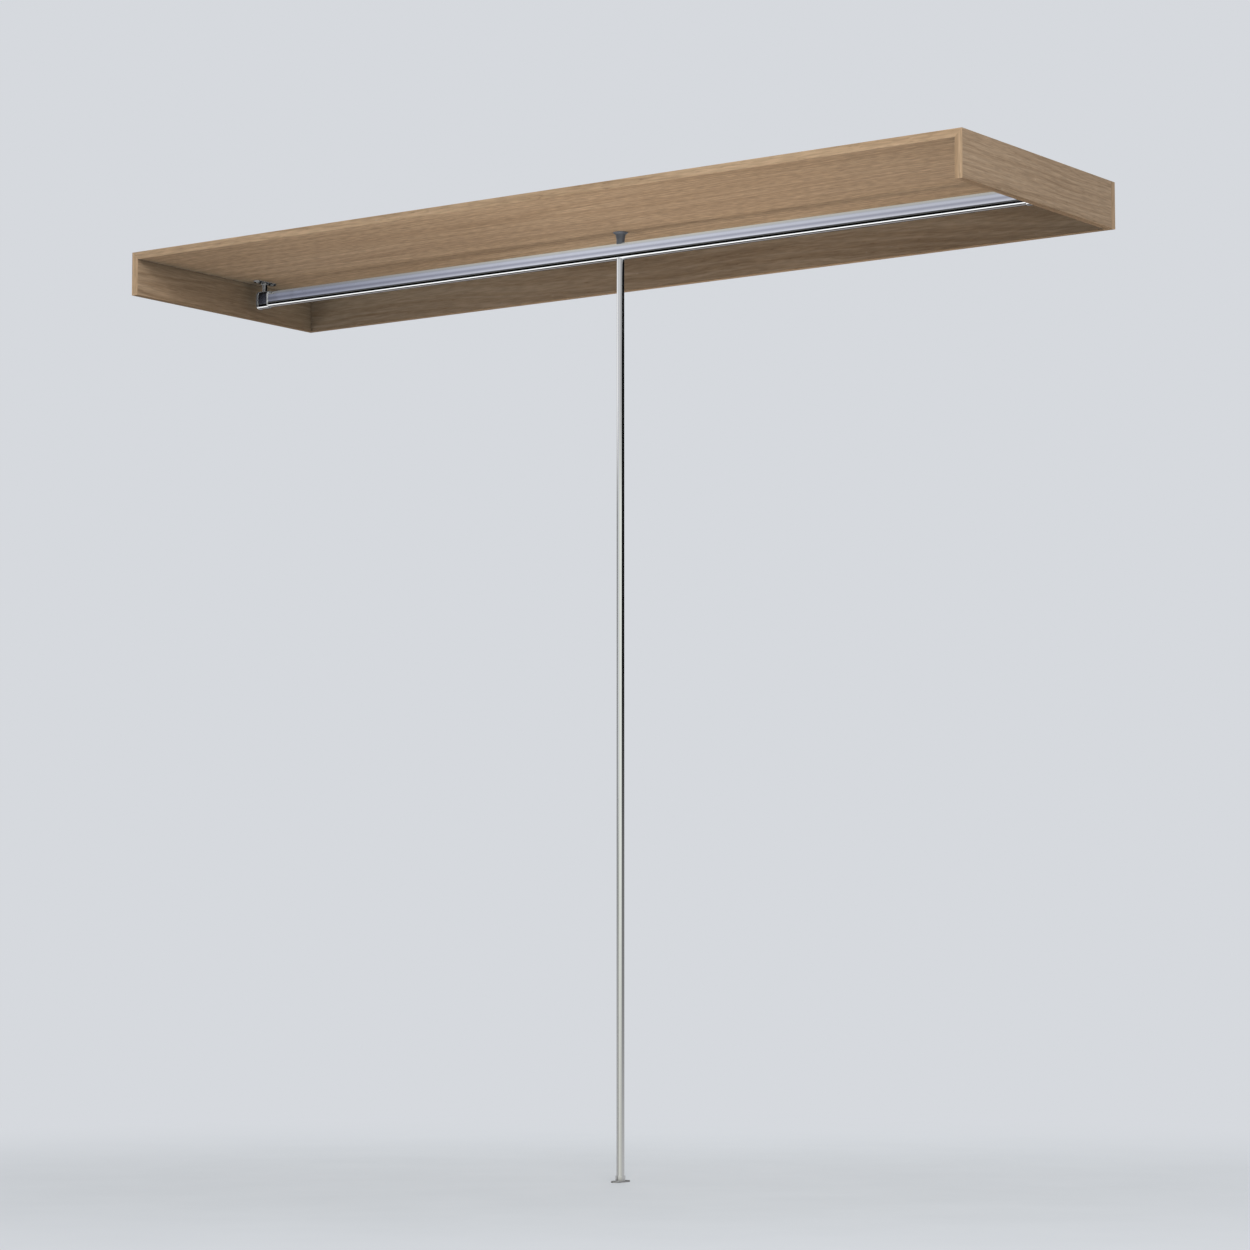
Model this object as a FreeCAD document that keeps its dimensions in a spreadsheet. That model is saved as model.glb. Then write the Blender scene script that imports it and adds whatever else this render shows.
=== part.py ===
import FreeCAD, Part
import os
import Sketcher

# Closet shelf with a hanging rod and a floor pole, in millimetres.
# Origin: floor level on the pole's axis. X runs along the shelf, Y towards the wall, Z up.

doc = FreeCAD.newDocument("ClosetShelf")
sheet = doc.addObject("Spreadsheet::Sheet", "Sizes")

VALUES = [
    ("shelf_width", 2100, "overall width of the shelf box"),
    ("shelf_depth", 600, "overall depth, front edge to wall"),
    ("shelf_drop", 95, "overall height of the shelf box"),
    ("shelf_top", 2000, "height of the top face above the floor"),
    ("board_thick", 16, "thickness of every board"),
    ("edging_thick", 1, "thickness of the oak edging strips"),
    ("rod_setback", 225, "rod and pole plane, measured from the wall"),
    ("fit_gap", 0.15, "gap left all round between fitted pieces"),
    ("biscuit_length", 47, "joining biscuit, along the joint"),
    ("biscuit_width", 15, "joining biscuit, across the joint"),
    ("biscuit_thick", 4, "joining biscuit thickness"),
    ("biscuit_heel", 5, "biscuit plane, measured from the inner corner"),
    ("biscuit_front", 70, "first biscuit, measured from the front edge"),
    ("biscuit_pitch", 215, "distance between biscuits along a mitre"),
    ("back_biscuit_pitch", 330, "distance between biscuits along the back joint"),
    ("tube_height", 36, "oval rod, height"),
    ("tube_width", 18, "oval rod, width"),
    ("tube_wall", 1.2, "oval rod, wall"),
    ("rod_standoff", 23, "clear height between top board and rod"),
    ("bracket_inset", 40, "bracket centre, measured from a side board"),
    ("ear_length", 68, "bracket flange, end to end"),
    ("ear_width", 17, "bracket flange, width"),
    ("ear_thick", 3, "bracket flange, thickness"),
    ("ear_screw_pitch", 48, "distance between the two flange screws"),
    ("neck_radius", 5.5, "bracket neck radius"),
    ("neck_boss", 3, "reach and height of the boss under the flange"),
    ("sleeve_length", 31, "bracket sleeve, along the rod"),
    ("socket_wall", 1.8, "wall of the bracket sleeves and of the foot's socket"),
    ("sleeve_cap", 3, "closed outer end of the sleeve"),
    ("rim_length", 4.5, "raised rim at the sleeve's outer end"),
    ("rim_raise", 0.8, "height of the rim over the sleeve"),
    ("screw_radius", 1.75, "wood screw shank radius"),
    ("screw_head_radius", 3.6, "wood screw head radius"),
    ("screw_head_thick", 1.8, "wood screw head height"),
    ("screw_length", 14, "wood screw length with its head"),
    ("cone_lip_radius", 15.5, "centre cone, radius of the lip"),
    ("cone_lip_thick", 1.4, "centre cone, thickness of the lip"),
    ("cone_waist_radius", 10.6, "centre cone, radius below the flare"),
    ("cone_waist_drop", 5, "centre cone, height of the flare under the lip"),
    ("cone_foot_radius", 8.8, "centre cone, radius of its straight foot"),
    ("cone_foot_height", 8, "centre cone, straight foot above the rod"),
    ("saddle_depth", 3, "how far a saddle reaches over the rod"),
    ("stud_radius", 3, "radius of the stud through the rod"),
    ("stud_in_board", 11, "stud depth in the top board"),
    ("stud_in_pole", 22, "stud depth in the pole plug"),
    ("pole_radius", 8, "floor pole radius"),
    ("pole_wall", 1.2, "floor pole wall"),
    ("collar_height", 7, "visible collar of the pole plug"),
    ("plug_depth", 28, "pole plug, length inside the pole"),
    ("foot_length", 54, "pole foot flange, end to end"),
    ("foot_width", 19, "pole foot flange, width"),
    ("foot_thick", 3, "pole foot flange, thickness"),
    ("foot_hole_pitch", 36, "distance between the two floor screws"),
    ("foot_hole_radius", 2.25, "floor screw hole radius"),
    ("foot_collar_height", 13, "socket of the pole foot, above the floor"),
    ("key_pitch_outer", 1800, "distance between the outer keyholes"),
    ("key_pitch_inner", 600, "distance between the inner keyholes"),
    ("key_drop", 45, "keyhole entry, measured from the top face"),
    ("key_entry_radius", 5, "keyhole entry radius"),
    ("key_slot_radius", 2.5, "keyhole slot half width"),
    ("key_slot_rise", 12, "keyhole slot, measured from the entry"),
    ("key_lip", 4, "wood left over a screw head in a keyhole"),
    ("key_head_radius", 6.2, "half width of the room for a screw head"),
    ("key_depth", 10, "depth of a keyhole"),
]

for row, (alias, value, words) in enumerate(VALUES, start=1):
    sheet.set("A%d" % row, alias)
    sheet.set("B%d" % row, str(value))
    sheet.set("C%d" % row, words)
    sheet.setAlias("B%d" % row, alias)
doc.recompute()


class Size:
    """A number that keeps the sheet formula it comes from."""

    def __init__(self, number, formula):
        self.number = float(number)
        self.formula = formula

    def join(self, other, sign, swapped=False):
        first = self
        second = other if isinstance(other, Size) else Size(other, repr(float(other)))
        if swapped:
            first, second = second, first
        formula = "(%s %s %s)" % (first.formula, sign, second.formula)
        if sign == "+":
            return Size(first.number + second.number, formula)
        if sign == "-":
            return Size(first.number - second.number, formula)
        if sign == "*":
            return Size(first.number * second.number, formula)
        return Size(first.number / second.number, formula)

    def __add__(self, other):
        return self.join(other, "+")

    def __radd__(self, other):
        return self.join(other, "+", True)

    def __sub__(self, other):
        return self.join(other, "-")

    def __rsub__(self, other):
        return self.join(other, "-", True)

    def __mul__(self, other):
        return self.join(other, "*")

    def __rmul__(self, other):
        return self.join(other, "*", True)

    def __truediv__(self, other):
        return self.join(other, "/")

    def __neg__(self):
        return self.join(0, "-", True)


def size(alias):
    return Size(sheet.get(alias), "Sizes." + alias)


NOUGHT = Size(0, "0")

# Drawing helpers

def bind(thing, prop, value):
    thing.setExpression(prop, value.formula)


def new_body(label, x=None, y=None, z=None, turned=False):
    body = doc.addObject("PartDesign::Body", "Body_" + label)
    body.Label = label
    if turned:
        body.Placement.Rotation = FreeCAD.Rotation(FreeCAD.Vector(0, 0, 1), 180)
    for axis, value in (("x", x), ("y", y), ("z", z)):
        if value is not None:
            bind(body, "Placement.Base." + axis, value)
    return body


def plane_of(body, role):
    for feature in body.Origin.OriginFeatures:
        if feature.Role == role:
            return feature
    raise ValueError("no plane " + role)


def new_sketch(body, role, offset=NOUGHT, shift=None, tilt=0):
    """A sketch on an origin plane, moved along the plane's normal, or moved and tilted about Y."""
    sketch = body.newObject("Sketcher::SketchObject", "Sketch")
    sketch.AttachmentSupport = [(plane_of(body, role), "")]
    sketch.MapMode = "FlatFace"
    if shift is None:
        bind(sketch, "AttachmentOffset.Base.z", offset)
    else:
        turn = FreeCAD.Rotation(FreeCAD.Vector(0, 1, 0), tilt)
        sketch.AttachmentOffset = FreeCAD.Placement(FreeCAD.Vector(), turn)
        bind(sketch, "AttachmentOffset.Base.x", shift[0])
        bind(sketch, "AttachmentOffset.Base.z", shift[1])
    return sketch


def pin(sketch, shape, point, x, y):
    """Hold a point of the sketch at two sizes from the sketch origin."""
    for kind, value in (("DistanceX", x), ("DistanceY", y)):
        spot = sketch.addConstraint(Sketcher.Constraint(kind, shape, point, value.number))
        bind(sketch, "Constraints[%d]" % spot, value)


def radius(sketch, shape, value):
    spot = sketch.addConstraint(Sketcher.Constraint("Radius", shape, value.number))
    bind(sketch, "Constraints[%d]" % spot, value)


def draw_outline(sketch, corners):
    """A closed outline. A corner is (x, y) or (x, y, radius, side): then the next edge is an arc."""
    start = sketch.GeometryCount
    count = len(corners)
    for index, corner in enumerate(corners):
        after = corners[(index + 1) % count]
        one = FreeCAD.Vector(corner[0].number, corner[1].number, 0)
        two = FreeCAD.Vector(after[0].number, after[1].number, 0)
        if len(corner) == 2:
            sketch.addGeometry(Part.LineSegment(one, two))
            continue
        chord = two - one
        reach = corner[2].number
        sag = reach - (reach ** 2 - (chord.Length / 2) ** 2) ** 0.5
        side = FreeCAD.Vector(chord.y, -chord.x, 0).normalize() * (sag * corner[3])
        sketch.addGeometry(Part.Arc(one, (one + two) / 2 + side, two))
    ends = []
    for index, corner in enumerate(corners):
        first, last = 1, 2
        if len(corner) == 4:
            edge = sketch.Geometry[start + index]
            here = FreeCAD.Vector(corner[0].number, corner[1].number, 0)
            if edge.StartPoint.distanceToPoint(here) > 1e-6:
                first, last = 2, 1
        ends.append((first, last))
    for index, corner in enumerate(corners):
        after = (index + 1) % count
        link = Sketcher.Constraint("Coincident", start + index, ends[index][1], start + after, ends[after][0])
        sketch.addConstraint(link)
        pin(sketch, start + index, ends[index][0], corner[0], corner[1])
        if len(corner) == 4:
            radius(sketch, start + index, corner[2])


def draw_box(sketch, left, right, low, high):
    draw_outline(sketch, [(left, low), (right, low), (right, high), (left, high)])


def draw_circle(sketch, x, y, reach):
    centre = FreeCAD.Vector(x.number, y.number, 0)
    shape = sketch.addGeometry(Part.Circle(centre, FreeCAD.Vector(0, 0, 1), reach.number))
    pin(sketch, shape, 3, x, y)
    radius(sketch, shape, reach)


def draw_oval(sketch, x, y, length, width):
    """A round-ended slot standing along the sketch's Y axis, centred on x, y."""
    reach = width / 2
    rise = (length - width) / 2
    high = FreeCAD.Vector(x.number, (y + rise).number, 0)
    low = FreeCAD.Vector(x.number, (y - rise).number, 0)
    out = FreeCAD.Vector(reach.number, 0, 0)
    up = FreeCAD.Vector(0, 0, 1)
    half_turn = 3.141592653589793
    first = sketch.addGeometry(Part.ArcOfCircle(Part.Circle(high, up, reach.number), 0, half_turn))
    sketch.addGeometry(Part.LineSegment(high - out, low - out))
    sketch.addGeometry(Part.ArcOfCircle(Part.Circle(low, up, reach.number), half_turn, 2 * half_turn))
    sketch.addGeometry(Part.LineSegment(low + out, high + out))
    for step in range(4):
        after = first + (step + 1) % 4
        sketch.addConstraint(Sketcher.Constraint("Tangent", first + step, 2, after, 1))
    pin(sketch, first, 3, x, y + rise)
    pin(sketch, first + 2, 3, x, y - rise)
    sketch.addConstraint(Sketcher.Constraint("Equal", first, first + 2))
    radius(sketch, first, reach)


# Solid helpers

def pad(body, sketch, length, back=False, both=False):
    feature = body.newObject("PartDesign::Pad", "Pad")
    feature.Profile = sketch
    bind(feature, "Length", length)
    feature.Reversed = back
    feature.Midplane = both
    sketch.Visibility = False
    doc.recompute()
    return feature


def cut(body, sketch, depth=None, back=False, both=False):
    """A pocket. Without a depth it goes all the way through."""
    before = body.Shape.Volume
    feature = body.newObject("PartDesign::Pocket", "Pocket")
    feature.Profile = sketch
    if depth is None:
        feature.Type = "ThroughAll"
    else:
        bind(feature, "Length", depth)
    feature.Reversed = back
    feature.Midplane = both
    sketch.Visibility = False
    doc.recompute()
    if body.Shape.Volume > before - 1e-3:
        raise ValueError("a pocket of %s takes nothing away" % body.Label)
    return feature


def turn(body, sketch):
    """A solid of revolution about the sketch's upright axis."""
    feature = body.newObject("PartDesign::Revolution", "Revolution")
    feature.Profile = sketch
    feature.ReferenceAxis = (sketch, ["V_Axis"])
    feature.Angle = 360
    sketch.Visibility = False
    doc.recompute()
    return feature


# Main levels and planes

shelf_width = size("shelf_width")
board = size("board_thick")
edging = size("edging_thick")
gap = size("fit_gap")
half = shelf_width / 2
wall_y = size("rod_setback")
front_y = wall_y - size("shelf_depth")
joint_y = wall_y - board
top_z = size("shelf_top")
under_z = top_z - board
low_z = top_z - size("shelf_drop")
inner_x = half - board

tube_height = size("tube_height")
tube_width = size("tube_width")
standoff = size("rod_standoff")
rod_top_z = under_z - standoff
rod_z = rod_top_z - tube_height / 2
rod_low_z = rod_top_z - tube_height
bracket_x = inner_x - size("bracket_inset")
sleeve_length = size("sleeve_length")
screw_radius = size("screw_radius")
ear_screw_y = size("ear_screw_pitch") / 2
ear_thick = size("ear_thick")
head_thick = size("screw_head_thick")

stud_radius = size("stud_radius")
pole_radius = size("pole_radius")
collar_height = size("collar_height")

# The four boards and what joins them

biscuit_width = size("biscuit_width")
biscuit_length = size("biscuit_length")
biscuit_thick = size("biscuit_thick")
heel = size("biscuit_heel")
MITRE_PLACES = [front_y + size("biscuit_front") + step * size("biscuit_pitch") for step in range(3)]
BACK_PLACES = [step * size("back_biscuit_pitch") for step in (-2.5, -1.5, -0.5, 0.5, 1.5, 2.5)]
side_biscuit_z = low_z + (size("shelf_drop") - board) / 2


def draw_biscuit(sketch, x, y, clearance, upright):
    """The lens outline of a biscuit, centred on x, y, with its length along or across the sketch."""
    across = biscuit_width / 2 + clearance
    along = biscuit_length / 2 + clearance
    bow = (across * across + along * along) / (2 * across)
    if upright:
        draw_outline(sketch, [(x, y - along, bow, 1), (x, y + along, bow, 1)])
    else:
        draw_outline(sketch, [(x - along, y, bow, 1), (x + along, y, bow, 1)])


def mitre_sketch(body, side, clearance):
    """The biscuits of one mitre. The side is -1 at the left, 1 at the right."""
    spot = (side * (inner_x + heel), under_z + heel)
    sketch = new_sketch(body, "XY_Plane", shift=spot, tilt=45 * side)
    for place in MITRE_PLACES:
        draw_biscuit(sketch, NOUGHT, place, clearance, True)
    return sketch


def top_joint_sketch(body, clearance):
    """The biscuits between the top board and the back board."""
    sketch = new_sketch(body, "XY_Plane", top_z - board / 2)
    for place in BACK_PLACES:
        draw_biscuit(sketch, place, joint_y, clearance, False)
    return sketch


def side_joint_sketch(body, side, clearance):
    """The biscuit between a side board and the back board."""
    sketch = new_sketch(body, "YZ_Plane", side * (half - board / 2))
    draw_biscuit(sketch, joint_y, side_biscuit_z, clearance, True)
    return sketch


def biscuit_slot(body, sketch):
    cut(body, sketch, biscuit_thick + 2 * gap, both=True)


def upright_outline(side, low):
    """The mitred section of a side board."""
    return [
        (side * half, top_z),
        (side * inner_x, under_z),
        (side * inner_x, low),
        (side * half, low),
    ]


TOP_OUTLINE = [(-half, top_z), (-inner_x, under_z), (inner_x, under_z), (half, top_z)]
core_length = joint_y - front_y - edging


def section_board(label, outline, length, rear):
    """A board or strip with its section in the front view, from its rear plane towards the front."""
    body = new_body(label)
    sketch = new_sketch(body, "XZ_Plane", -rear)
    draw_outline(sketch, outline)
    pad(body, sketch, length)
    return body


top_board = section_board("top_board", TOP_OUTLINE, core_length, joint_y)
for side in (-1, 1):
    biscuit_slot(top_board, mitre_sketch(top_board, side, gap))
biscuit_slot(top_board, top_joint_sketch(top_board, gap))
pilot = new_sketch(top_board, "XY_Plane", under_z)
for side in (-1, 1):
    for end in (-1, 1):
        draw_circle(pilot, side * bracket_x, end * ear_screw_y, screw_radius + gap)
cut(top_board, pilot, size("screw_length") - head_thick - ear_thick + gap, back=True)
stud_hole = new_sketch(top_board, "XY_Plane", under_z)
draw_circle(stud_hole, NOUGHT, NOUGHT, stud_radius + gap)
cut(top_board, stud_hole, size("stud_in_board") + gap, back=True)

for side, name in ((-1, "left"), (1, "right")):
    upright = section_board(name + "_side_board", upright_outline(side, low_z + edging), core_length, joint_y)
    biscuit_slot(upright, mitre_sketch(upright, side, gap))
    biscuit_slot(upright, side_joint_sketch(upright, side, gap))

back_x = half - edging
back_board = new_body("back_board")
back_sketch = new_sketch(back_board, "XZ_Plane", -wall_y)
draw_box(back_sketch, -back_x, back_x, low_z + edging, top_z - edging)
pad(back_board, back_sketch, board)
biscuit_slot(back_board, top_joint_sketch(back_board, gap))
for side in (-1, 1):
    biscuit_slot(back_board, side_joint_sketch(back_board, side, gap))

# Keyholes routed into the rear of the back board: entry, slot, and room behind for a screw head

entry_radius = size("key_entry_radius")
slot_radius = size("key_slot_radius")
slot_rise = size("key_slot_rise")
head_room = size("key_head_radius")
key_lip = size("key_lip")
key_depth = size("key_depth")
entry_z = top_z - size("key_drop")
slot_z = entry_z + slot_rise / 2
KEYHOLES = []
for pitch in ("key_pitch_outer", "key_pitch_inner"):
    KEYHOLES.append(-(size(pitch) / 2))
    KEYHOLES.append(size(pitch) / 2)

entries = new_sketch(back_board, "XZ_Plane", -wall_y)
for x in KEYHOLES:
    draw_circle(entries, x, entry_z, entry_radius)
cut(back_board, entries, key_depth, back=True)
slots = new_sketch(back_board, "XZ_Plane", -wall_y)
for x in KEYHOLES:
    draw_oval(slots, x, slot_z, slot_rise + 2 * slot_radius, 2 * slot_radius)
cut(back_board, slots, key_depth, back=True)
undercuts = new_sketch(back_board, "XZ_Plane", -(wall_y - key_lip))
for x in KEYHOLES:
    draw_oval(undercuts, x, slot_z, slot_rise + 2 * head_room, 2 * head_room)
cut(back_board, undercuts, key_depth - key_lip, back=True)

mitre_biscuits = new_body("mitre_biscuits")
for side in (-1, 1):
    pad(mitre_biscuits, mitre_sketch(mitre_biscuits, side, NOUGHT), biscuit_thick, both=True)

back_biscuits = new_body("back_biscuits")
pad(back_biscuits, top_joint_sketch(back_biscuits, NOUGHT), biscuit_thick, both=True)
for side in (-1, 1):
    pad(back_biscuits, side_joint_sketch(back_biscuits, side, NOUGHT), biscuit_thick, both=True)

# Oak edging strips

section_board("top_front_edging", TOP_OUTLINE, edging, front_y + edging)
for side, name in ((-1, "left"), (1, "right")):
    section_board(name + "_front_edging", upright_outline(side, low_z), edging, front_y + edging)
    lower = [
        (side * half, low_z + edging),
        (side * inner_x, low_z + edging),
        (side * inner_x, low_z),
        (side * half, low_z),
    ]
    section_board(name + "_bottom_edging", lower, core_length, joint_y)
    end = [
        (side * half, top_z),
        (side * back_x, top_z),
        (side * back_x, low_z),
        (side * half, low_z),
    ]
    section_board("back_%s_edging" % name, end, board, wall_y)
for name, low in (("bottom", low_z), ("top", top_z - edging)):
    strip = [(-back_x, low), (back_x, low), (back_x, low + edging), (-back_x, low + edging)]
    section_board("back_%s_edging" % name, strip, board, wall_y)

# Oval hanging rod

sleeve_end = bracket_x + sleeve_length / 2
rod_half = sleeve_end - size("sleeve_cap") - gap
tube_wall = size("tube_wall")
rod = new_body("hanging_rod")
rod_sketch = new_sketch(rod, "YZ_Plane")
draw_oval(rod_sketch, NOUGHT, rod_z, tube_height, tube_width)
draw_oval(rod_sketch, NOUGHT, rod_z, tube_height - 2 * tube_wall, tube_width - 2 * tube_wall)
pad(rod, rod_sketch, 2 * rod_half, both=True)
rod_drill = new_sketch(rod, "XY_Plane", rod_z)
draw_circle(rod_drill, NOUGHT, NOUGHT, stud_radius + gap)
cut(rod, rod_drill, tube_height + 2 * tube_wall, both=True)

# Rod brackets: eared flange, neck with a boss, and an oval sleeve closed at its outer end

ear_width = size("ear_width")
sleeve_wall = size("socket_wall")
sleeve_height = tube_height + 2 * (gap + sleeve_wall)
sleeve_width = tube_width + 2 * (gap + sleeve_wall)
sleeve_mid = -(standoff + tube_height / 2)
sleeve_roof = -(standoff - gap - sleeve_wall)
neck_radius = size("neck_radius")
boss = size("neck_boss")
rim_raise = size("rim_raise")
head_radius = size("screw_head_radius")


def rod_bracket(label, side):
    """The left bracket, or the same casting turned round for the right. Its zero is the flange's top."""
    body = new_body(label, side * bracket_x, None, under_z, side > 0)
    ears = new_sketch(body, "XY_Plane")
    draw_oval(ears, NOUGHT, NOUGHT, size("ear_length"), ear_width)
    pad(body, ears, ear_thick, back=True)
    neck = new_sketch(body, "XZ_Plane")
    wide = neck_radius + boss
    draw_outline(neck, [
        (NOUGHT, -ear_thick / 2),
        (wide, -ear_thick / 2),
        (wide, -ear_thick - boss),
        (neck_radius, -ear_thick - boss),
        (neck_radius, sleeve_roof - sleeve_wall / 2),
        (NOUGHT, sleeve_roof - sleeve_wall / 2),
    ])
    turn(body, neck)
    sleeve = new_sketch(body, "YZ_Plane")
    draw_oval(sleeve, NOUGHT, sleeve_mid, sleeve_height, sleeve_width)
    pad(body, sleeve, sleeve_length, both=True)
    rim = new_sketch(body, "YZ_Plane", -(sleeve_length / 2))
    draw_oval(rim, NOUGHT, sleeve_mid, sleeve_height + 2 * rim_raise, sleeve_width + 2 * rim_raise)
    pad(body, rim, size("rim_length"))
    bore = new_sketch(body, "YZ_Plane", sleeve_length / 2)
    draw_oval(bore, NOUGHT, sleeve_mid, tube_height + 2 * gap, tube_width + 2 * gap)
    cut(body, bore, sleeve_length - size("sleeve_cap"))
    screws = new_sketch(body, "XY_Plane")
    for end in (-1, 1):
        draw_circle(screws, NOUGHT, end * ear_screw_y, screw_radius + gap)
    cut(body, screws, ear_thick)
    return body


rod_bracket("left_rod_bracket", -1)
rod_bracket("right_rod_bracket", 1)


def screw_solid(label, length):
    """One flat-headed screw standing upright on its head at the origin, kept as the pattern for a group."""
    body = new_body(label)
    sketch = new_sketch(body, "XZ_Plane")
    draw_outline(sketch, [
        (NOUGHT, NOUGHT),
        (head_radius, NOUGHT),
        (head_radius, head_thick),
        (screw_radius, head_thick),
        (screw_radius, length),
        (NOUGHT, length),
    ])
    turn(body, sketch)
    slot = new_sketch(body, "XY_Plane")
    arm = head_radius * 0.55
    thin = head_radius * 0.14
    draw_box(slot, -arm, arm, -thin, thin)
    cut(body, slot, screw_radius * 0.7, back=True)
    cross = new_sketch(body, "XY_Plane")
    draw_box(cross, -thin, thin, -arm, arm)
    cut(body, cross, screw_radius * 0.7, back=True)
    body.Visibility = False
    return body


def group_of(label, pattern, spots):
    """Separate copies of one solid as one node, each placed by the sheet's sizes."""
    copies = []
    for x, y, z in spots:
        link = doc.addObject("App::Link", "%s_copy" % pattern.Label)
        link.LinkedObject = pattern
        link.LinkTransform = False
        for letter, value in (("x", x), ("y", y), ("z", z)):
            bind(link, "Placement.Base." + letter, value)
        copies.append(link)
    group = doc.addObject("Part::Compound", "Group_" + label)
    group.Label = label
    group.Links = copies
    doc.recompute()
    return group


ear_screw = screw_solid("ear_screw_pattern", size("screw_length"))
ear_spots = []
for side in (-1, 1):
    for end in (-1, 1):
        ear_spots.append((side * bracket_x, end * ear_screw_y, under_z - ear_thick - head_thick))
group_of("bracket_screws", ear_screw, ear_spots)


# Centre cone over the rod, and the stud that runs through rod and cone into the pole


def saddle(body, middle):
    """Cut away the outline of the rod, with its gap, from a round piece."""
    sketch = new_sketch(body, "YZ_Plane")
    draw_oval(sketch, NOUGHT, middle, tube_height + 2 * gap, tube_width + 2 * gap)
    cut(body, sketch, 4 * pole_radius + 4 * size("cone_foot_radius"), both=True)


cone = new_body("centre_cone", None, None, under_z)
cone_sketch = new_sketch(cone, "XZ_Plane")
lip_radius = size("cone_lip_radius")
lip_low = -size("cone_lip_thick")
waist_radius = size("cone_waist_radius")
waist_low = -size("cone_waist_drop")
cone_low = -(standoff + size("saddle_depth"))
draw_outline(cone_sketch, [
    (stud_radius + gap, NOUGHT),
    (lip_radius, NOUGHT),
    (lip_radius, lip_low),
    (waist_radius, waist_low),
    (size("cone_foot_radius"), -(standoff - size("cone_foot_height"))),
    (size("cone_foot_radius"), cone_low),
    (stud_radius + gap, cone_low),
])
turn(cone, cone_sketch)
saddle(cone, sleeve_mid)

stud = new_body("centre_stud")
stud_sketch = new_sketch(stud, "XZ_Plane")
stud_high = under_z + size("stud_in_board")
stud_low = rod_low_z - size("stud_in_pole")
draw_outline(stud_sketch, [
    (NOUGHT, stud_high),
    (stud_radius / 4, stud_high),
    (stud_radius, stud_high - 2 * stud_radius),
    (stud_radius, stud_low),
    (NOUGHT, stud_low),
])
turn(stud, stud_sketch)

# Floor pole with its plug and foot

pole_inner = pole_radius - size("pole_wall")
pole_low = size("foot_thick")
pole_high = rod_low_z - collar_height

plug = new_body("pole_plug")
plug_sketch = new_sketch(plug, "XZ_Plane")
plug_low = pole_high - size("plug_depth")
draw_outline(plug_sketch, [
    (stud_radius + gap, plug_low),
    (pole_inner - gap, plug_low),
    (pole_inner - gap, pole_high),
    (pole_radius, pole_high),
    (pole_radius, rod_low_z + size("saddle_depth")),
    (stud_radius + gap, rod_low_z + size("saddle_depth")),
])
turn(plug, plug_sketch)
saddle(plug, rod_z)

pole = new_body("floor_pole")
pole_sketch = new_sketch(pole, "XY_Plane", pole_low)
draw_circle(pole_sketch, NOUGHT, NOUGHT, pole_radius)
draw_circle(pole_sketch, NOUGHT, NOUGHT, pole_inner)
pad(pole, pole_sketch, pole_high - pole_low)

foot = new_body("pole_foot")
foot_sketch = new_sketch(foot, "XY_Plane")
draw_oval(foot_sketch, NOUGHT, NOUGHT, size("foot_length"), size("foot_width"))
pad(foot, foot_sketch, pole_low)
collar_sketch = new_sketch(foot, "XY_Plane")
collar_radius = pole_radius + gap + size("socket_wall")
draw_circle(collar_sketch, NOUGHT, NOUGHT, collar_radius)
collar_top = size("foot_collar_height")
pad(foot, collar_sketch, collar_top)
socket = new_sketch(foot, "XY_Plane", collar_top)
draw_circle(socket, NOUGHT, NOUGHT, pole_radius + gap)
cut(foot, socket, collar_top - pole_low)
floor_holes = new_sketch(foot, "XY_Plane", pole_low)
for end in (-1, 1):
    draw_circle(floor_holes, NOUGHT, end * size("foot_hole_pitch") / 2, size("foot_hole_radius"))
cut(foot, floor_holes)

# Checks, then one file for each node

doc.recompute()
for thing in doc.Objects:
    if "Invalid" in thing.State or "Error" in thing.State:
        raise ValueError("%s is %s" % (thing.Label, thing.State))

os.makedirs("parts", exist_ok=True)
for thing in doc.Objects:
    if thing.TypeId not in ("PartDesign::Body", "Part::Compound"):
        continue
    if thing.Label.endswith("_pattern"):
        continue
    shape = thing.Shape
    if shape.isNull() or not shape.isValid():
        raise ValueError("bad shape " + thing.Label)
    shape.exportStep("parts/%s.step" % thing.Label)
    print(thing.Label, len(shape.Solids), round(shape.Volume))
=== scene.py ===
import math

import bpy
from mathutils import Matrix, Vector


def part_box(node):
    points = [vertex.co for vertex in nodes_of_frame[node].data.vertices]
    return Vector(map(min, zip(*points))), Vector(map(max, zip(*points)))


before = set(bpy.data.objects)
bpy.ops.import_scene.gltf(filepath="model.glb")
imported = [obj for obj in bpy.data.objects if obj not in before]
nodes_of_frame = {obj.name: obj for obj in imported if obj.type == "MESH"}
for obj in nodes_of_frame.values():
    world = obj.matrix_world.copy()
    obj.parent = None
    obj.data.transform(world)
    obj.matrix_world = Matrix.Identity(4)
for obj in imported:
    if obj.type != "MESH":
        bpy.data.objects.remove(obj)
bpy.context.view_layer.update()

scene = bpy.context.scene


def grey(level):
    return (level, level, level, 1)


# Wood tones, each pale, middle and dark, as scene-linear colours
TOP_OAK = ((0.550, 0.378, 0.234, 1), (0.443, 0.292, 0.173, 1), (0.328, 0.207, 0.115, 1))
# Side and back boards: the same oak made cooler, and the back also a little darker, as painted
# shade of the inner faces
SIDE_OAK_COOL_PAINTED_SHADE = ((0.545, 0.395, 0.262, 1), (0.440, 0.306, 0.195, 1), (0.326, 0.217, 0.130, 1))
BACK_OAK_COOL_PAINTED_SHADE = ((0.505, 0.393, 0.281, 1), (0.408, 0.304, 0.209, 1), (0.302, 0.216, 0.139, 1))
FRONT_EDGE = ((0.620, 0.440, 0.277, 1), (0.525, 0.362, 0.222, 1), (0.412, 0.272, 0.157, 1))
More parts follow.
